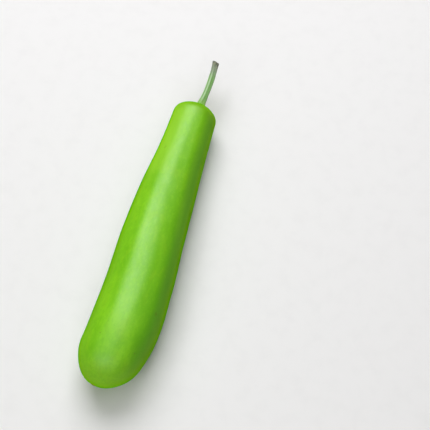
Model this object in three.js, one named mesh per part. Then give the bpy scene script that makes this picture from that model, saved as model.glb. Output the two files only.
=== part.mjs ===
// A long bottle gourd, picked with a length of its stalk and lying on its side.
// Millimetres, +Z up. It lies along Y, with its thick blossom end towards -Y and its stalk towards +Y,
// and it rests on z = 0 with the origin under the middle of its box.
import * as THREE from "three";

// fruit
const fruitLength = 345;
// From the blossom end to the stalk end in even steps: half the width, and how far the middle strays to +X.
const halfWidths = [30.5, 37, 36.5, 35, 32, 27.5, 25];
const sideBends = [0, 10.5, 10, 6, 4, 3.5, 2.5];
const fruitSides = 48;
const bellyRings = 32;
// Each end is rounded over a length, by a curve that is an ellipse at a power of 2 and squarer above it.
const blossomEnd = { length: 35, power: 2, rings: 12 };
const stalkEnd = { length: 15, power: 2.1, rings: 12 };
const ringCrowding = 1.4; // above 1, the rings close up towards the two tips
// The blossom scar is a small corky knob in a dimple. Another dimple, a little off the middle, holds the stalk.
const scarDimple = { depth: 0.6, radius: 7 };
const scarKnob = { height: 0.6, radius: 2.5 };
const stalkDimple = { depth: 1.4, radius: 9 };
const stalkOffset = 2;
// Soft swells that keep the fruit from being perfectly round.
const swells = [
  { height: 0.35, lobes: 2, turn: 1.3, twist: 2 },
  { height: 0.25, lobes: 3, turn: 4.1, twist: -3 },
  { height: 0.15, lobes: 5, turn: 0.6, twist: 5 },
];
// The underside touches at restPlace, as a part of the length, and both ends rise from there.
const restPlace = 0.45;
const endRise = 6;
const flatDepth = 0.6;

// stalk
const stalkLength = 60;
const stalkRadii = [5.4, 4.1, 3.5, 3.55, 3.8, 3.8, 3.7]; // from its flared foot to its cut end, in even steps
const stalkSides = 30;
const stalkRings = 22;
const foot = { length: 12, gap: 0.6 };
const ribs = { count: 5, depth: 0.1, turn: 0.9 };
const cut = { slope: 0.35, turn: -1.3, length: 8, hollow: 0.6 }; // the slanting cut
// How far the stalk leans to the side and up as it leaves the fruit, and at its cut end.
const stalkStart = { side: 0.16, up: 0 };
const stalkFinish = { side: -0.05, up: 0.3 };

// A smooth curve through values that stand at even steps, read at t from 0 to 1.
function through(values, t) {
  const steps = values.length - 1;
  const k = THREE.MathUtils.clamp(Math.floor(t * steps), 0, steps - 1);
  const u = t * steps - k;
  const here = values[k];
  const next = values[k + 1];
  const before = k > 0 ? values[k - 1] : 2 * here - next;
  const after = k < steps - 1 ? values[k + 2] : 2 * next - here;
  const square = 2 * before - 5 * here + 4 * next - after;
  const cube = 3 * (here - next) + after - before;
  return here + 0.5 * u * (next - before + u * (square + u * cube));
}

// How much of the full width is left at a distance from the tip of a rounded end.
function roundedEnd(distance, end) {
  const inside = THREE.MathUtils.clamp(1 - distance / end.length, 0, 1);
  return (1 - inside ** end.power) ** (1 / end.power);
}

// A round hill or dimple of a given radius, 1 in its middle.
function bump(distance, radius) {
  return Math.exp(-((distance / radius) ** 2));
}

// Distances from the tip of a rounded end to its rings, the tip itself first.
function ringPlaces(end) {
  return Array.from({ length: end.rings + 1 }, (_, i) => {
    const angle = (i / end.rings) ** ringCrowding * Math.PI / 2;
    return end.length * (1 - Math.cos(angle));
  });
}

// Half the outline of the fruit from tip to tip, as points (radius, place along the length).
function fruitOutline() {
  const bellyLength = fruitLength - blossomEnd.length - stalkEnd.length;
  const bellyPlaces = Array.from(
    { length: bellyRings - 1 },
    (_, i) => blossomEnd.length + bellyLength * (i + 1) / bellyRings,
  );
  const stalkPlaces = ringPlaces(stalkEnd).map((distance) => fruitLength - distance).reverse();
  return [...ringPlaces(blossomEnd), ...bellyPlaces, ...stalkPlaces].map((y) => {
    const ends = roundedEnd(y, blossomEnd) * roundedEnd(fruitLength - y, stalkEnd);
    return new THREE.Vector2(through(halfWidths, y / fruitLength) * ends, y);
  });
}

// How far the relief at the two tips moves a point of the fruit along its length.
function tipRelief(x, y, z) {
  if (y > fruitLength / 2) {
    return -stalkDimple.depth * bump(Math.hypot(x - stalkOffset, z), stalkDimple.radius);
  }
  const radius = Math.hypot(x, z);
  return scarDimple.depth * bump(radius, scarDimple.radius) - scarKnob.height * bump(radius, scarKnob.radius);
}

// The middle line of the fruit, at t from 0 at the blossom end to 1 at the stalk end.
function spine(t) {
  const rise = endRise * ((t - restPlace) / 0.5) ** 2 - flatDepth;
  return new THREE.Vector3(through(sideBends, t), fruitLength * t, through(halfWidths, t) + rise);
}

// Three directions on a curve: along it, to its side and up.
function directions(curve, t) {
  const step = 0.001;
  const along = curve(t + step).sub(curve(t - step)).normalize();
  const side = along.clone().cross(new THREE.Vector3(0, 0, 1)).normalize();
  const up = side.clone().cross(along);
  return { along, side, up };
}

// Carries a shape that stands along the Y axis onto a curve of the same length.
function carryOnto(shape, curve, length) {
  const position = shape.getAttribute("position");
  const point = new THREE.Vector3();
  for (let i = 0; i < position.count; i++) {
    point.fromBufferAttribute(position, i);
    const t = point.y / length;
    const { side, up } = directions(curve, t);
    const carried = curve(t).addScaledVector(side, point.x).addScaledVector(up, point.z);
    position.setXYZ(i, carried.x, carried.y, carried.z);
  }
}

function makeFruit() {
  const shape = new THREE.LatheGeometry(fruitOutline(), fruitSides);
  const position = shape.getAttribute("position");
  for (let i = 0; i < position.count; i++) {
    const x = position.getX(i);
    const y = position.getY(i);
    const z = position.getZ(i);
    const t = y / fruitLength;
    const angle = Math.atan2(x, z);
    const swell = swells.reduce((sum, s) => sum + s.height * Math.sin(s.lobes * angle + s.turn + s.twist * t), 0);
    const growth = 1 + swell / through(halfWidths, t);
    position.setXYZ(i, x * growth, y + tipRelief(x, y, z), z * growth);
  }
  carryOnto(shape, spine, fruitLength);
  // the small flat spot that it rests on
  for (let i = 0; i < position.count; i++) {
    position.setZ(i, Math.max(position.getZ(i), 0));
  }
  shape.computeVertexNormals();
  return shape;
}

// Half the outline of the stalk from the middle of its foot to the middle of its cut face.
function stalkOutline() {
  const outline = [new THREE.Vector2(0, 0), new THREE.Vector2(stalkRadii[0] / 2, 0)];
  for (let i = 0; i <= stalkRings; i++) {
    const t = (i / stalkRings) ** 1.3;
    outline.push(new THREE.Vector2(through(stalkRadii, t), stalkLength * t));
  }
  const rim = stalkRadii.at(-1);
  outline.push(new THREE.Vector2(rim * 0.85, stalkLength + 0.2));
  outline.push(new THREE.Vector2(rim * 0.4, stalkLength - cut.hollow / 2));
  outline.push(new THREE.Vector2(0, stalkLength - cut.hollow));
  return outline;
}

// The middle line of the stalk, from its foot in the dimple to its cut end.
function stalkLine() {
  const { along, side, up } = directions(spine, 1);
  const leaning = ({ side: aside, up: upward }) =>
    along.clone().addScaledVector(side, aside).addScaledVector(up, upward).normalize();
  const root = spine(1).addScaledVector(side, stalkOffset);
  root.addScaledVector(along, foot.gap - stalkDimple.depth);
  const middle = root.clone().addScaledVector(leaning(stalkStart), stalkLength / 2);
  const tip = middle.clone().addScaledVector(leaning(stalkFinish), stalkLength / 2);
  return new THREE.QuadraticBezierCurve3(root, middle, tip);
}

function makeStalk() {
  const shape = new THREE.LatheGeometry(stalkOutline(), stalkSides);
  const position = shape.getAttribute("position");
  for (let i = 0; i < position.count; i++) {
    const x = position.getX(i);
    const y = position.getY(i);
    const z = position.getZ(i);
    const angle = Math.atan2(x, z);
    const growth = 1 + ribs.depth * Math.cos(ribs.count * angle + ribs.turn);
    const nearCut = THREE.MathUtils.smoothstep(y, stalkLength - cut.length, stalkLength);
    const slant = cut.slope * nearCut * Math.hypot(x, z) * Math.cos(angle - cut.turn);
    // the foot lies flat on the fruit although the stalk leans
    const level = stalkStart.side * x * (1 - THREE.MathUtils.smoothstep(y, 0, foot.length));
    position.setXYZ(i, x * growth, y + slant + level, z * growth);
  }
  const line = stalkLine();
  carryOnto(shape, (t) => line.getPoint(t), stalkLength);
  shape.computeVertexNormals();
  return shape;
}

function addPiece(parent, name, geometry, look) {
  const piece = new THREE.Mesh(geometry, new THREE.MeshStandardMaterial(look));
  piece.name = name;
  parent.add(piece);
}

const gourd = new THREE.Group();
addPiece(gourd, "fruit", makeFruit(), { color: 0x8cc634, roughness: 0.42, metalness: 0 });
addPiece(gourd, "stem", makeStalk(), { color: 0x7f9150, roughness: 0.7, metalness: 0 });

const box = new THREE.Box3().setFromObject(gourd, true);
const middle = box.getCenter(new THREE.Vector3());
gourd.position.set(-middle.x, -middle.y, -box.min.z);

export default gourd;
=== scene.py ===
import math
from functools import cached_property

import bpy
import numpy as np
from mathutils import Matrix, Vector, noise


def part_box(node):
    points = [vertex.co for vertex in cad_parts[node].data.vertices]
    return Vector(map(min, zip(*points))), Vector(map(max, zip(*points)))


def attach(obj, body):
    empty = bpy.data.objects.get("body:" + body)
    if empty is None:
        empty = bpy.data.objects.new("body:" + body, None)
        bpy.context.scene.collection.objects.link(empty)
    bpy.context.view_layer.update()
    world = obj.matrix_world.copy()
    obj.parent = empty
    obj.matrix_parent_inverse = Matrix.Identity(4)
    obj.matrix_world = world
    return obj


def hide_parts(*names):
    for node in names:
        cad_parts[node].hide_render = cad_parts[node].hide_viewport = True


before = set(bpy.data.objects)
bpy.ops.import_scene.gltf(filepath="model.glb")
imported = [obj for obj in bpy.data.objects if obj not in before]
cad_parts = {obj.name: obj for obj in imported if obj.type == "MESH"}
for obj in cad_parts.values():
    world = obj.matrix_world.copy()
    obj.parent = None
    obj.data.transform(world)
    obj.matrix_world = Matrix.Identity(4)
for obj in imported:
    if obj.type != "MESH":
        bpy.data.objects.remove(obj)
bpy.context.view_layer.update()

print("frame loaded")


# placing things
def placed(name, data):
    made = bpy.data.objects.new(name, data)
    bpy.context.collection.objects.link(made)
    return made


def hung(name, data, aim, direction, distance):  # an object that looks at a point from a distance
    made = placed(name, data)
    made.location = Vector(aim) + direction * distance
    made.rotation_euler = (-direction).to_track_quat("-Z", "Y").to_euler()
    return made


# camera, at the photo's angle
cameraLook = {
    "azimuth": 17.3,                   # degrees round the gourd, where 0 looks along +Y
    "elevation": 66.0,                 # degrees above the floor
    "distance": 1.05,
    "aim": (0.0523, 0.0184, 0.030),
    "lens": 79.6,                      # mm
    "sensor": 36.0,                    # mm
    "nearest": 0.01,                   # what is nearer isn't drawn
}


def addCamera(look):
    turn, lift = (math.radians(look[key]) for key in ("azimuth", "elevation"))
    back = Vector((math.sin(turn) * math.cos(lift), -math.cos(turn) * math.cos(lift), math.sin(lift)))
    data = bpy.data.cameras.new("camera")
    data.sensor_width = look["sensor"]
    data.lens = look["lens"]
    data.clip_start = look["nearest"]
    bpy.context.scene.camera = hung("camera", data, look["aim"], back, look["distance"])


addCamera(cameraLook)
print("camera placed")


# shader tools
class Wire:  # a socket that can be used in sums
    def __init__(self, look, socket):
        self.look = look
        self.socket = socket

    def __add__(self, other):
        return self.look.math("ADD", self, other)

    def __sub__(self, other):
        return self.look.math("SUBTRACT", self, other)

    def __rsub__(self, other):
        return self.look.math("SUBTRACT", other, self)

    def __mul__(self, other):
        return self.look.math("MULTIPLY", self, other)

    __radd__ = __add__
    __rmul__ = __mul__


class Look:  # a material or the surroundings, built node by node
    def __init__(self, owner):
        self.owner = owner
        owner.use_nodes = True
        self.tree = owner.node_tree
        self.tree.nodes.clear()

    def node(self, kind, settings=None, sockets=None, output=0):
        made = self.tree.nodes.new(kind)
        for name, value in (settings or {}).items():
            setattr(made, name, value)
        for name, value in (sockets or {}).items():
            if isinstance(value, Wire):
                self.tree.links.new(value.socket, made.inputs[name])
            else:
                made.inputs[name].default_value = value
        return Wire(self, made.outputs[output]) if made.outputs else None

    def math(self, operation, a, b):
        return self.node("ShaderNodeMath", {"operation": operation}, {0: a, 1: b})

    def mix(self, amount, under, over):
        factor, first, second, result = 0, 6, 7, 2  # where a Mix node keeps its colour sockets
        settings = {"data_type": "RGBA", "clamp_factor": True}
        return self.node("ShaderNodeMix", settings, {factor: amount, first: under, second: over}, result)

    def smooth(self, value, low, high):  # 0 at low and 1 at high, which may be the smaller one
        sockets = {"Value": value, "From Min": low, "From Max": high}
        return self.node("ShaderNodeMapRange", {"interpolation_type": "SMOOTHSTEP"}, sockets)

    def layered(self, tone, layers, values, colours):  # colours laid over a first tone, one after another
        for key, low, high, strength, colourKey in layers:
            tone = self.mix(self.smooth(values[key], low, high) * strength, tone, colours[colourKey])
        return tone

    @cached_property
    def place(self):  # where a point is, in metres
        return self.node("ShaderNodeTexCoord", output="Object")

    def stretched(self, stretch):  # the place, with less of it along Y, so that a noise on it is longer there
        if stretch == 1:
            return self.place
        return self.node("ShaderNodeMapping", {}, {"Vector": self.place, "Scale": (1, stretch, 1)})

    def grain(self, scale, detail=2.0, rough=0.5, stretch=1.0, warp=0.0):
        sockets = {"Vector": self.stretched(stretch), "Scale": scale, "Detail": detail,
                   "Roughness": rough, "Distortion": warp}
        return self.node("ShaderNodeTexNoise", {}, sockets)

    def cells(self, scale, stretch=1.0):  # the distance to the nearest of many scattered points
        sockets = {"Vector": self.stretched(stretch), "Scale": scale}
        return self.node("ShaderNodeTexVoronoi", {}, sockets, "Distance")

    def fromMesh(self, key):  # a number that the mesh carries
        return self.node("ShaderNodeAttribute", {"attribute_name": key}, {}, "Fac")

    def farFrom(self, point):
        sockets = {0: self.place, 1: tuple(point)}
        return self.node("ShaderNodeVectorMath", {"operation": "DISTANCE"}, sockets, "Value")

    def placeAlong(self, axis):
        return self.node("ShaderNodeSeparateXYZ", {}, {0: self.place}, axis)

    def bump(self, height, distance, strength, under=None):
        sockets = {"Height": height, "Distance": distance, "Strength": strength}
        if under:
            sockets["Normal"] = under
        return self.node("ShaderNodeBump", {}, sockets)

    def finish(self, sockets):
        shader = self.node("ShaderNodeBsdfPrincipled", {}, sockets)
        self.node("ShaderNodeOutputMaterial", {"is_active_output": True}, {"Surface": shader})
        return self.owner


def colour(red, green, blue):  # display values from 0 to 255, as the linear colour that shaders take
    values = [v / 255 for v in (red, green, blue)]
    return (*[v / 12.92 if v < 0.04045 else ((v + 0.055) / 1.055) ** 2.4 for v in values], 1.0)


# mesh tools
def through(values, t):  # a smooth curve through values at even steps, read at t from 0 to 1
    values = np.asarray(values, float)
    steps = len(values) - 1
    k = np.clip(np.floor(t * steps).astype(int), 0, steps - 1)
    u = t * steps - k
    padded = np.concatenate([[2 * values[0] - values[1]], values, [2 * values[-1] - values[-2]]])
    before, here, after, last = (padded[k + i] for i in range(4))
    square = 2 * before - 5 * here + 4 * after - last
    cube = 3 * (here - after) + last - before
    return here + 0.5 * u * (after - before + u * (square + u * cube))


def roundedEnd(distance, length, power):  # how much of the full width is left at a distance from the tip
    inside = np.clip(1 - distance / length, 0, 1)
    return (1 - inside ** power) ** (1 / power)


def hill(distance, radius):
    return np.exp(-(distance / radius) ** 2)


def eased(value, low, high):
    t = np.clip((value - low) / (high - low), 0, 1)
    return t * t * (3 - 2 * t)


def directions(curve, t):  # to the side of a curve, up from it and along it
    step = 0.001
    along = curve(t + step) - curve(t - step)
    along /= np.linalg.norm(along, axis=-1, keepdims=True)
    side = np.cross(along, [0, 0, 1])
    side /= np.linalg.norm(side, axis=-1, keepdims=True)
    return side, np.cross(side, along), along


def carried(curve, length, x, y, z):  # a shape that stands along Y, carried onto a curve
    side, up, _ = directions(curve, y / length)
    return curve(y / length) + side * x[..., None] + up * z[..., None]


def pebbles(points, size, height, seed):  # small random bumps
    shift = Vector((seed * 3.7, seed * 1.3, seed * 2.1))  # so that no two seeds give the same bumps
    flat = points.reshape(-1, 3) / size
    heights = [noise.noise(Vector(p) + shift) for p in flat]
    return height * np.array(heights).reshape(points.shape[:-1])


def skinOver(name, rings, extras):  # a closed mesh over rings whose first and last are the two tips
    count, sides = rings.shape[:2]
    middle = rings[1:-1].reshape(-1, 3)
    points = np.concatenate([rings[:1, 0], middle, rings[-1:, 0]])
    ring = np.arange(count - 3)[:, None] * sides + 1
    here = np.arange(sides)
    after = (here + 1) % sides
    quads = np.stack([ring + here, ring + after, ring + sides + after, ring + sides + here], -1)
    last = len(points) - 1
    top = last - sides
    faces = [(0, int(b), int(a)) for a, b in zip(here + 1, after + 1)]
    faces += [tuple(q) for q in quads.reshape(-1, 4).tolist()]
    faces += [(last, int(a), int(b)) for a, b in zip(here + top, after + top)]
    mesh = bpy.data.meshes.new(name)
    mesh.from_pydata(points.tolist(), [], faces)
    mesh.shade_smooth()
    for key, values in extras.items():  # one number for each point, for the shader
        flat = np.concatenate([values[:1, 0], values[1:-1].ravel(), values[-1:, 0]])
        mesh.attributes.new(key, "FLOAT", "POINT").data.foreach_set("value", flat.astype(np.float32))
    return placed(name, mesh)


# fruit
fruit = {
    "length": 0.345,
    "halfWidths": (0.0305, 0.037, 0.0365, 0.035, 0.032, 0.0275, 0.025),  # blossom end to stalk end
    "sideBends": (0, 0.0105, 0.010, 0.006, 0.004, 0.0035, 0.0025),
    "blossomEnd": (0.035, 2.0),        # length and power of its rounding
    "stalkEnd": (0.015, 2.1),
    "scarDimple": (0.0006, 0.007),     # depth and radius
    "scarKnob": (0.0006, 0.0025),
    "stalkDimple": (0.0014, 0.009),
    "stalkOffset": 0.002,
    # soft swells that keep it from being perfectly round: height, lobes, turn, twist
    "swells": ((0.00035, 2, 1.3, 2), (0.00025, 3, 4.1, -3), (0.00015, 5, 0.6, 5)),
    "restPlace": 0.45,                 # it touches the floor there, and both ends rise
    "endRise": 0.006,
    "flatDepth": 0.0006,
    "sides": 224,
    "bellyRings": 230,
    "endRings": 34,
    "crowding": 1.4,                   # above 1, the rings close up towards the two tips
    # fine relief: lengthwise ridges in three sets, pebbling by size, height and seed, folds round the stalk
    "ridges": {"counts": (7, 9, 12), "height": 0.00012, "turn": 2.1, "drift": 1.1, "wander": 2.3},
    "pebbles": ((0.011, 0.00016, 1), (0.0045, 0.00005, 2)),
    "pebbleStretch": 0.45,
    "folds": {"height": 0.0004, "radius": 0.0085, "width": 0.004, "inner": 0.003},
    "inset": 0.00008,                  # keeps the fine relief inside the solid's box
}
stalkRibs = {"count": 5, "depth": 0.1, "turn": 0.9}


def spine(t):  # the middle line of the fruit, at t from 0 at the blossom end to 1 at the stalk end
    rise = fruit["endRise"] * ((t - fruit["restPlace"]) / 0.5) ** 2 - fruit["flatDepth"]
    height = through(fruit["halfWidths"], t) + rise
    return np.stack([through(fruit["sideBends"], t), fruit["length"] * t, height], -1)


def fruitRings():
    crowded = (np.arange(fruit["endRings"] + 1) / fruit["endRings"]) ** fruit["crowding"] * math.pi / 2
    blossom = fruit["blossomEnd"][0] * (1 - np.cos(crowded))
    stalkSide = fruit["length"] - fruit["stalkEnd"][0] * (1 - np.cos(crowded[::-1]))
    belly = np.linspace(blossom[-1], stalkSide[0], fruit["bellyRings"] + 1)[1:-1]
    return np.concatenate([blossom, belly, stalkSide])


def fineRelief(x, y, z, angle):  # ridges and pebbling
    t = y / fruit["length"]
    ridges, relief = fruit["ridges"], 0
    for i, count in enumerate(ridges["counts"]):
        drift = ridges["drift"] * np.sin(ridges["wander"] * t * (i + 1) + i)
        wave = np.cos(count * angle + ridges["turn"] * i + drift)
        relief = relief + ridges["height"] * wave * np.sin(math.pi * t) ** 0.5
    where = np.stack([x, y * fruit["pebbleStretch"], z], -1)
    return relief + sum(pebbles(where, *kind) for kind in fruit["pebbles"]) - fruit["inset"]


def stalkFolds(x, z):  # they radiate from the stalk, in step with its ribs
    folds, near = fruit["folds"], np.hypot(x, z)
    wave = np.cos(stalkRibs["count"] * np.arctan2(x, z) + stalkRibs["turn"])
    reach = hill(near - folds["radius"], folds["width"]) * eased(near, 0, folds["inner"])
    return folds["height"] * wave * reach


def tipRelief(x, y, z, fine):  # how far the relief at the two tips moves a point along the fruit
    radius = np.hypot(x, z)
    depth, width = fruit["scarDimple"]
    knob, knobWidth = fruit["scarKnob"]
    scar = depth * hill(radius, width) - knob * hill(radius, knobWidth)
    aside = x - fruit["stalkOffset"]
    depth, width = fruit["stalkDimple"]
    dimple = (stalkFolds(aside, z) if fine else 0) - depth * hill(np.hypot(aside, z), width)
    return np.where(y > fruit["length"] / 2, dimple, scar)


def fruitPoints(y, angle, fine=True):
    y, angle = np.broadcast_arrays(y[:, None], angle[None])
    t = y / fruit["length"]
    width = through(fruit["halfWidths"], t)
    ends = roundedEnd(y, *fruit["blossomEnd"]) * roundedEnd(fruit["length"] - y, *fruit["stalkEnd"])
    x, z = width * ends * np.sin(angle), width * ends * np.cos(angle)
    swell = sum(h * np.sin(lobes * angle + turn + twist * t) for h, lobes, turn, twist in fruit["swells"])
    if fine:
        swell = swell + fineRelief(x, y, z, angle)
    growth = 1 + swell / width
    points = carried(spine, fruit["length"], x * growth, y + tipRelief(x, y, z, fine), z * growth)
    points[..., 2] = np.maximum(points[..., 2], 0)  # the flat spot that it lies on
    return points, {"above": np.cos(angle), "aside": np.sin(angle)}


# skin of the fruit
skin = {
    "colours": {
        "deep": colour(116, 181, 12),
        "green": colour(130, 193, 16),
        "pale": colour(148, 205, 34),
        "neck": colour(129, 187, 22),
        "olive": colour(140, 189, 24),
        # painted shade down the sides of the fruit
        "side": colour(70, 144, 5),
        # the painted highlight on the neck
        "highlightTone": colour(166, 210, 78),
        "fleck": colour(176, 212, 84),
        "scuff": colour(104, 112, 40),
        "corkEdge": colour(176, 176, 100),
        "cork": colour(156, 140, 88),
        "corkMiddle": colour(98, 78, 48),
        # painted shade round the stalk end
        "shoulderShade": colour(118, 168, 10),
    },
    # noises: scale, detail, roughness, stretch along the fruit, warp
    "noises": {
        "cloud": (26, 3.0, 0.55, 0.35, 0.4),
        "streak": (210, 3.0, 0.6, 0.07, 0.6),
        "patch": (75, 3.0, 0.6, 0.45, 0.8),
        "mottle": (150, 4.0, 0.65, 0.6, 0.5),
        "fine": (360, 3.0, 0.7, 0.6, 0.4),
        "crowd": (90, 2.0),
        "crumbs": (620, 3.0, 0.65),
        "pores": (900, 2.0, 0.6),
    },
    # layers: by which value, where in it the colour begins and is full, how strong, which colour
    "greens": (
        ("cloud", 0.35, 0.68, 1.0, "green"),
        ("streaks", 0.72, 0.98, 0.5, "pale"),
        ("length", 0.45, 1.0, 0.75, "neck"),
        ("patch", 0.48, 0.66, 0.5, "olive"),
        ("patch", 0.5, 0.32, 0.4, "deep"),
        ("mottle", 0.5, 0.72, 0.3, "pale"),
        ("mottle", 0.5, 0.3, 0.45, "deep"),
        ("fine", 0.5, 0.66, 0.3, "pale"),
        ("fine", 0.5, 0.34, 0.4, "deep"),
    ),
    "ends": (
        ("fromScar", 0.009, 0.004, 0.35, "pale"),
        ("ragged", 0.0046, 0.0034, 0.6, "corkEdge"),
        ("ragged", 0.0034, 0.0026, 1.0, "cork"),
        ("ragged", 0.0018, 0.0008, 0.8, "corkMiddle"),
        # painted shade: darker green round the stalk end
        ("fromRoot", 0.036, 0.022, 0.8, "shoulderShade"),
        ("fromRoot", 0.014, 0.005, 0.5, "fleck"),
    ),
    # the painted shade down the sides: where it begins and is full, as cosines from the top, more to +X, and
    # none at the tips
    "sides": {"reach": (0.9, 0.3), "lean": 0.12, "ragged": 0.3, "least": 0.75, "patchy": 0.4,
              "offScar": (0.01, 0.075), "offRoot": (0.006, 0.03)},
    # painted highlight: paler green on the upper -X side of the neck
    "paintedHighlight": {"along": (0.66, 0.9), "ragged": 0.15, "aside": (0.05, -0.5), "above": (0.1, 0.6),
            "offRoot": (0.016, 0.034), "strength": 0.65},
    # flecks and scuffs: their cells to the metre, where in a cell they begin and are full, how strong
    "flecks": {"scale": 430, "edge": (0.26, 0.1), "crowds": (0.45, 0.65), "strength": 0.14},
    "wideFlecks": {"scale": 120, "edge": (0.16, 0.05), "strength": 0.08},
    "scuffs": {"scale": 23, "stretch": 0.6, "edge": (0.055, 0.02), "mottled": (0.35, 0.6), "strength": 0.6},
    # small nicks: their place along the fruit, from the blossom end, and degrees round from its top
    "nicks": ((0.13, -20), (0.125, 48), (0.63, -52), (0.44, 118), (0.81, 165), (0.30, -140)),
    "nick": {"edge": (0.0024, 0.0014), "ragged": 0.0024, "strength": 0.6},
    "scarRagged": 0.0042,
    "streaky": 0.5,                    # how much the streaks add to the clouds
    "mottled": 0.6,                    # and the mottling to the streaks, in the relief
    "roughness": {"least": 0.44, "mottled": (0.3, 0.7), "more": 0.08, "scuffed": 0.2},
    "pores": (0.00003, 0.5),           # depth and strength of their bump
    "streaks": (0.00008, 0.6),
    "finish": {
        "Specular IOR Level": 0.88,
        "Coat Weight": 1.0,
        "Coat IOR": 1.0,               # it only tints, and adds no shine
        "Coat Tint": (0.9, 1.0, 0.45, 1.0),
        "Coat Roughness": 0.44,
        "Subsurface Weight": 0.06,
        "Subsurface Radius": (0.5, 1.0, 0.15),
        "Subsurface Scale": 0.003,
    },
}


def onFruit(t, turn):  # the place on the fruit's skin at a part of its length and degrees from its top
    y, angle = np.array([fruit["length"] * t]), np.array([math.radians(turn)])
    return fruitPoints(y, angle)[0][0, 0]


def skinValues(look, toFrame):  # what the skin's colours go by
    values = {key: look.grain(*numbers) for key, numbers in skin["noises"].items()}
    values["streaks"] = values["cloud"] + values["streak"] * skin["streaky"]
    values["length"] = look.smooth(look.placeAlong("Y"), toFrame[1], toFrame[1] + fruit["length"])
    scar, root = (spine(np.array([t]))[0] + toFrame for t in (0.0, 1.0))
    values["fromScar"] = look.farFrom(scar)
    values["fromRoot"] = look.farFrom(root + np.array([fruit["stalkOffset"], 0, 0]))
    values["ragged"] = values["fromScar"] + (values["crumbs"] - 0.5) * skin["scarRagged"]
    for key in ("above", "aside"):
        values[key] = look.fromMesh(key)
    return values


def paintedSideShade(look, values):  # painted shade: deeper green down the sides
    sides = skin["sides"]
    above = values["above"] - values["aside"] * sides["lean"] + (values["cloud"] - 0.5) * sides["ragged"]
    shade = look.smooth(above, *sides["reach"]) * (sides["least"] + values["patch"] * sides["patchy"])
    offScar = look.smooth(values["fromScar"], *sides["offScar"])
    return shade * offScar * look.smooth(values["fromRoot"], *sides["offRoot"])


# painted highlight: paler on the upper -X side of the neck, away from the stalk
def paintedNeckHighlight(look, values):
    paintedHighlight = skin["paintedHighlight"]
    along = look.smooth(values["length"] + (values["patch"] - 0.5) * paintedHighlight["ragged"], *paintedHighlight["along"])
    lit = along * look.smooth(values["aside"], *paintedHighlight["aside"]) * look.smooth(values["above"], *paintedHighlight["above"])
    return lit * look.smooth(values["fromRoot"], *paintedHighlight["offRoot"]) * paintedHighlight["strength"]


def fleckMasks(look, values):  # fine pale flecks, most of them faint
    flecks, wide = skin["flecks"], skin["wideFlecks"]
    fine = look.smooth(look.cells(flecks["scale"]), *flecks["edge"])
    yield fine * look.smooth(values["crowd"], *flecks["crowds"]) * flecks["strength"]
    yield look.smooth(look.cells(wide["scale"]), *wide["edge"]) * wide["strength"]


def nickMasks(look, values, toFrame):
    nick = skin["nick"]
    for t, turn in skin["nicks"]:
        away = look.farFrom(onFruit(t, turn) + toFrame) + values["mottle"] * nick["ragged"]
        yield look.smooth(away, *nick["edge"]) * nick["strength"]


def skinMaterial(name, toFrame):
    look = Look(bpy.data.materials.new(name))
    colours, scuffs, roughness = (skin[key] for key in ("colours", "scuffs", "roughness"))
    values = skinValues(look, toFrame)
    tone = look.layered(colours["deep"], skin["greens"], values, colours)
    # painted shade: deeper green down the sides
    tone = look.mix(paintedSideShade(look, values), tone, colours["side"])
    # painted highlight on the neck
    tone = look.mix(paintedNeckHighlight(look, values), tone, colours["highlightTone"])
    for mask in fleckMasks(look, values):
        tone = look.mix(mask, tone, colours["fleck"])
    scuffed = look.smooth(look.cells(scuffs["scale"], scuffs["stretch"]), *scuffs["edge"])
    worn = scuffed * look.smooth(values["mottle"], *scuffs["mottled"]) * scuffs["strength"]
    tone = look.mix(worn, tone, colours["scuff"])
    for mask in nickMasks(look, values, toFrame):
        tone = look.mix(mask, tone, colours["scuff"])
    tone = look.layered(tone, skin["ends"], values, colours)
    mottled = look.smooth(values["mottle"], *roughness["mottled"])
    relief = look.bump(values["pores"], *skin["pores"])
    relief = look.bump(values["streak"] + values["mottle"] * skin["mottled"], *skin["streaks"], relief)
    return look.finish({
        "Base Color": tone,
        "Roughness": roughness["least"] + mottled * roughness["more"] + scuffed * roughness["scuffed"],
        "Normal": relief,
        **skin["finish"],
    })


angles = np.linspace(0, 2 * math.pi, fruit["sides"], endpoint=False)
plain = fruitPoints(fruitRings(), angles, fine=False)[0].reshape(-1, 3)
boxLow, boxHigh = (np.array(corner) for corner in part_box("fruit"))
toFrame = (boxLow + boxHigh - plain.min(0) - plain.max(0)) / 2  # brings the shape to where the solid lies
toFrame[2] = 0

fruitShape, fruitExtras = fruitPoints(fruitRings(), angles)
fruitPiece = skinOver("fruit_skin", fruitShape + toFrame, fruitExtras)
fruitPiece.data.materials.append(skinMaterial("gourd skin", toFrame))
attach(fruitPiece, "root")
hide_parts("fruit")
print("fruit made")


# stalk
stalk = {
    "length": 0.0599,
    "radii": (0.0054, 0.0041, 0.0035, 0.00355, 0.0037, 0.0035, 0.0038),  # foot to cut end
    "foot": {"length": 0.012, "gap": 0.0006, "sunk": 0.0012},
    "cut": {"slope": 0.35, "turn": -1.3, "length": 0.008, "hollow": 0.0006},
    "start": (0.16, 0.0),              # how it leans to the side and up where it leaves the fruit
    "finish": (-0.05, 0.3),            # and at its cut end
    "sides": 120,
    "rings": 150,
    "crowding": 1.15,                  # above 1, the rings close up towards the foot
    "footRings": (0, 0.5, 0.9),        # parts of the radius, in the disc sunk in the fruit
    "faceRings": (0.97, 0.92, 0.85, 0.75, 0.6, 0.45, 0.3, 0.15, 0),  # and in the cut face
    # heights are parts of the radius. Fibres: height, count, turn, twist
    "fibres": ((0.012, 17, 0, 0.75), (0.008, 29, 1.7, 0)),
    # the crust of its dry end, and how much of it the green part has
    "crust": {"size": 0.0016, "height": 0.05, "seed": 5, "stretch": 0.3, "green": 0.4},
    "dryFrom": 0.78,                   # a part of its length
}


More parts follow.
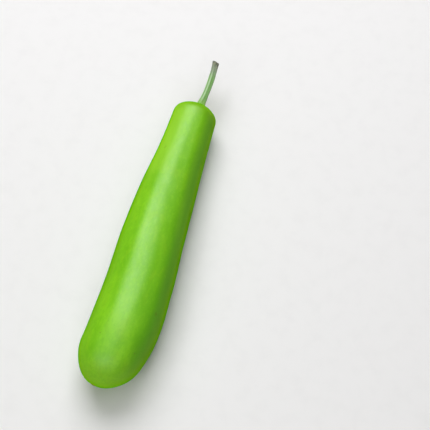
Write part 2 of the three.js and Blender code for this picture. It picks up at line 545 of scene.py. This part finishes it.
def stalkLine():  # the middle line of the stalk, from its foot in the dimple to its cut end
    side, up, along = (d[0] for d in directions(spine, np.array([1.0])))
    leaning = [along + side * stalk[key][0] + up * stalk[key][1] for key in ("start", "finish")]
    start, finish = (lean / np.linalg.norm(lean) for lean in leaning)
    root = spine(np.array([1.0]))[0] + side * fruit["stalkOffset"]
    root = root + along * (stalk["foot"]["gap"] - fruit["stalkDimple"][0])
    middle = root + start * stalk["length"] / 2
    tip = middle + finish * stalk["length"] / 2

    def line(t):
        t = np.asarray(t)[..., None]
        return (1 - t) ** 2 * root + 2 * t * (1 - t) * middle + t ** 2 * tip

    return line


def stalkProfile():  # radii and places along the stalk, from the middle of its foot to that of its cut face
    inner, outer = (np.array(stalk[key]) for key in ("footRings", "faceRings"))
    y = stalk["length"] * np.linspace(0, 1, stalk["rings"]) ** stalk["crowding"]
    radius = through(stalk["radii"], y / stalk["length"])
    face = stalk["length"] - stalk["cut"]["hollow"] * (1 - outer ** 2)
    radii = np.concatenate([inner * radius[0], radius, outer * stalk["radii"][-1]])
    return radii, np.concatenate([np.full(len(inner), -stalk["foot"]["sunk"]), y, face])


def stalkPoints(line):
    length, foot, cut, crust = (stalk[key] for key in ("length", "foot", "cut", "crust"))
    angle = np.linspace(0, 2 * math.pi, stalk["sides"], endpoint=False)
    radius, y, angle = np.broadcast_arrays(*(part[:, None] for part in stalkProfile()), angle[None])
    x, z = radius * np.sin(angle), radius * np.cos(angle)
    wave = np.cos(stalkRibs["count"] * angle + stalkRibs["turn"])
    fibres = sum(h * np.cos(n * angle + turn + twist * y / length) for h, n, turn, twist in stalk["fibres"])
    where = np.stack([x, y * crust["stretch"], z], -1)
    rough = pebbles(where, crust["size"], crust["height"], crust["seed"])
    dry = eased(y, length * stalk["dryFrom"], length)
    growth = 1 + stalkRibs["depth"] * wave + fibres * (1 + dry) + rough * (crust["green"] + dry)
    slant = cut["slope"] * eased(y, length - cut["length"], length) * radius * np.cos(angle - cut["turn"])
    level = stalk["start"][0] * x * (1 - eased(y, 0, foot["length"]))  # its foot lies flat on the fruit
    points = carried(line, length, x * growth, y + slant + level, z * growth)
    return points, {"rib": 0.5 + 0.5 * wave, "aside": np.sin(angle), "outward": radius / stalk["radii"][-1]}


# bark of the stalk
bark = {
    "colours": {
        "groove": colour(126, 170, 66),
        "middle": colour(154, 188, 98),
        "ridge": colour(182, 208, 130),
        # painted shade for the stalk's +X side
        "low": colour(100, 150, 48),
        "foot": colour(142, 188, 52),
        "olive": colour(140, 148, 98),
        "dry": colour(118, 116, 74),
        "tan": colour(168, 162, 104),
        "brown": colour(78, 64, 46),
        "rim": colour(62, 50, 38),
        "cutFace": colour(158, 150, 106),
    },
    # noises: scale, detail, roughness, stretch along the stalk
    "noises": {
        "fibre": (1500, 3.0, 0.6, 0.04),
        "blotch": (240, 3.0, 0.6, 0.5),
        "patch": (480, 2.0, 0.5, 0.6),
    },
    # how much of a second value is added to a first one
    "added": {"edge": 0.16, "cutEdge": 0.015, "ribFibre": 0.4, "shadedPatch": 0.16, "relief": 0.5},
    # layers: by which value, where in it the colour begins and is full, how strong, which colour
    "crust": (
        ("patch", 0.5, 0.64, 0.8, "tan"),
        ("shadedPatch", 0.48, 0.36, 1.0, "brown"),
    ),
    "layers": (
        ("rib", 0.1, 0.8, 1.0, "middle"),
        ("ribFibre", 0.85, 1.2, 0.8, "ridge"),
        # painted shade: darker green down the stalk's +X side
        ("aside", -0.3, 0.9, 0.75, "low"),
        ("length", 0.22, 0.04, 1.0, "foot"),
        ("edge", 0.6, 0.84, 1.0, "olive"),
        ("edge", 0.82, 0.95, 1.0, "crust"),
        ("fibre", 0.52, 0.7, 0.4, "ridge"),
        ("fibre", 0.48, 0.3, 0.4, "groove"),
        ("cutEdge", 0.95, 0.98, 1.0, "rim"),
    ),
    "face": {"along": (0.93, 0.96), "outward": (0.93, 0.8), "strength": 0.8},
    "dryRoughness": {"along": (0.7, 0.95), "least": 0.55, "more": 0.25},
    "relief": (0.00012, 0.7),          # depth and strength of its bump
    "finish": {"Specular IOR Level": 0.3, "Sheen Weight": 0.15, "Sheen Roughness": 0.5},
}


def stalkMaterial(name, tipY, rootY):
    look = Look(bpy.data.materials.new(name))
    face, dry, added = (bark[key] for key in ("face", "dryRoughness", "added"))
    values = {key: look.grain(*numbers) for key, numbers in bark["noises"].items()}
    for key in ("rib", "outward", "aside"):
        values[key] = look.fromMesh(key)
    t = (look.placeAlong("Y") - rootY) * (1 / (tipY - rootY))
    values["length"] = t
    values["edge"] = t + (values["blotch"] - 0.5) * added["edge"]
    values["cutEdge"] = values["edge"] + values["aside"] * added["cutEdge"]
    values["ribFibre"] = values["rib"] + values["fibre"] * added["ribFibre"]
    values["shadedPatch"] = values["patch"] - values["aside"] * added["shadedPatch"]
    colours = dict(bark["colours"])
    colours["crust"] = look.layered(colours["dry"], bark["crust"], values, colours)
    tone = look.layered(colours["groove"], bark["layers"], values, colours)
    # the pale face of the cut, in its thin dark rim
    onFace = look.smooth(t, *face["along"]) * look.smooth(values["outward"], *face["outward"])
    tone = look.mix(onFace * face["strength"], tone, colours["cutFace"])
    return look.finish({
        "Base Color": tone,
        "Roughness": dry["least"] + look.smooth(t, *dry["along"]) * dry["more"],
        "Normal": look.bump(values["fibre"] + values["blotch"] * added["relief"], *bark["relief"]),
        **bark["finish"],
    })


stalkShape, stalkExtras = stalkPoints(stalkLine())
stalkPiece = skinOver("stalk_ribbed", stalkShape + toFrame, stalkExtras)
stalkLow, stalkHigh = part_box("stem")
stalkPiece.data.materials.append(stalkMaterial("dry stalk", stalkHigh.y, stalkLow.y))
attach(stalkPiece, "root")
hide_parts("stem")
print("stalk made")


# fine down on the stalk
down = {
    "seed": 11,
    "hairs": 2600,
    "length": (0.0005, 0.0010),
    "radius": 0.00003,
    "lean": (0.1, 0.9),                # towards the cut end
    "sway": 0.25,
    "reach": (0.06, 0.90),             # parts of the stalk's length between which it grows
    "pale": colour(214, 226, 150),
    "green": colour(174, 204, 100),
    "patches": {"scale": 400, "edge": (0.35, 0.65)},
    "finish": {"Roughness": 0.6, "Specular IOR Level": 0.3},
}


def downOver(name, wall):  # three-sided hairs on a tube of rings
    rng = np.random.default_rng(down["seed"])
    count, sides = wall.shape[:2]
    hairs = down["hairs"]
    ring = rng.uniform(down["reach"][0], down["reach"][1], hairs) * (count - 2)
    turn = rng.uniform(0, sides, hairs)
    i, j = ring.astype(int), turn.astype(int)
    here, after, beside = wall[i, j], wall[i + 1, j], wall[i, (j + 1) % sides]
    root = here + (after - here) * (ring - i)[:, None] + (beside - here) * (turn - j)[:, None]
    along = after - here
    along /= np.linalg.norm(along, axis=1, keepdims=True)
    outward = np.cross(beside - here, along)
    outward /= np.linalg.norm(outward, axis=1, keepdims=True)
    across = np.cross(outward, along)
    lean = rng.uniform(*down["lean"], (hairs, 1))
    sway = rng.normal(0, down["sway"], (hairs, 1))
    point = outward + along * lean + across * sway
    point /= np.linalg.norm(point, axis=1, keepdims=True)
    tip = root + point * rng.uniform(*down["length"], (hairs, 1))
    foot = root - outward * down["radius"]
    turns = np.arange(3) * 2 * math.pi / 3
    corners = [foot + down["radius"] * (along * math.cos(a) + across * math.sin(a)) for a in turns]
    points = np.stack([*corners, tip], 1).reshape(-1, 3)
    start = (np.arange(hairs) * 4)[:, None, None]
    faces = (start + np.array([(0, 1, 3), (1, 2, 3), (2, 0, 3), (0, 2, 1)])).reshape(-1, 3)
    mesh = bpy.data.meshes.new(name)
    mesh.from_pydata(points.tolist(), [], faces.tolist())
    return placed(name, mesh)


def downMaterial(name):
    look = Look(bpy.data.materials.new(name))
    patches = look.smooth(look.grain(down["patches"]["scale"]), *down["patches"]["edge"])
    return look.finish({"Base Color": look.mix(patches, down["green"], down["pale"]), **down["finish"]})


wall = stalkShape[len(stalk["footRings"]):-len(stalk["faceRings"])] + toFrame
downPiece = downOver("stalk_down", wall)
downPiece.data.materials.append(downMaterial("pale down"))
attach(downPiece, "root")
print("down made")


# floor and light
studio = {
    "floor": colour(234, 228, 181),
    "floorFlecks": colour(226, 220, 173),
    "flecks": {"noise": (60, 3.0), "edge": (0.4, 0.8), "strength": 0.3},
    "floorFinish": {"Roughness": 0.8, "Specular IOR Level": 0.1},
    "floorRadius": 1.6,
    "floorSides": 96,
    "floorFade": (0.7, 1.5),           # from here to there it fades into the backdrop
    "lampTone": (0.95, 1.0, 1.7),      # cool, and the floor a little warm, so that it shows neutral
    "sky": 0.05,                       # how much light the surroundings give
    "backdrop": 0.85,                  # and how bright they show behind the floor
}
softboxes = {  # where each hangs as seen from the gourd, in degrees from straight above, and its size
    "over": {"aside": -14, "beyond": 33, "distance": 2.2, "size": (1.7, 1.4), "power": 45},
    "front": {"aside": -5, "beyond": -47, "distance": 2.2, "size": (2.4, 1.0), "power": 20},
    "top": {"aside": 8, "beyond": 4, "distance": 2.2, "size": (1.2, 1.2), "power": 9},
}


def floorMaterial(name):
    look = Look(bpy.data.materials.new(name))
    flecks = studio["flecks"]
    mask = look.smooth(look.grain(*flecks["noise"]), *flecks["edge"]) * flecks["strength"]
    tone = look.mix(mask, studio["floor"], studio["floorFlecks"])
    solid = 1 - look.smooth(look.farFrom((0, 0, 0)), *studio["floorFade"])
    return look.finish({"Base Color": tone, "Alpha": solid, **studio["floorFinish"]})


def addFloor():
    mesh = bpy.data.meshes.new("floor")
    turns = np.linspace(0, 2 * math.pi, studio["floorSides"], endpoint=False)
    rim = [(studio["floorRadius"] * math.cos(a), studio["floorRadius"] * math.sin(a), 0) for a in turns]
    mesh.from_pydata(rim, [], [tuple(range(len(rim)))])
    mesh.materials.append(floorMaterial("pale board"))
    floor = placed("floor", mesh)


def addSoftbox(name, box):
    aside, beyond = (math.tan(math.radians(box[key])) for key in ("aside", "beyond"))
    data = bpy.data.lights.new(name, "AREA")
    data.shape = "RECTANGLE"
    data.size, data.size_y = box["size"]
    data.energy = box["power"]
    data.color = studio["lampTone"]
    hung(name, data, (0, 0, 0), Vector((aside, beyond, 1)).normalized(), box["distance"])


def addSky():  # it lights little, and shows to the camera as a pale backdrop
    world = bpy.data.worlds.new("soft sky")
    bpy.context.scene.world = world
    look = Look(world)
    shown = look.node("ShaderNodeLightPath", output="Is Camera Ray")
    strength = studio["sky"] + shown * (studio["backdrop"] - studio["sky"])
    glow = look.node("ShaderNodeBackground", {}, {"Color": (1, 1, 1, 1), "Strength": strength})
    look.node("ShaderNodeOutputWorld", {"is_active_output": True}, {"Surface": glow})


addFloor()
for name, box in softboxes.items():
    addSoftbox(name, box)
addSky()
bpy.context.scene.view_settings.view_transform = "Standard"
print("studio set")
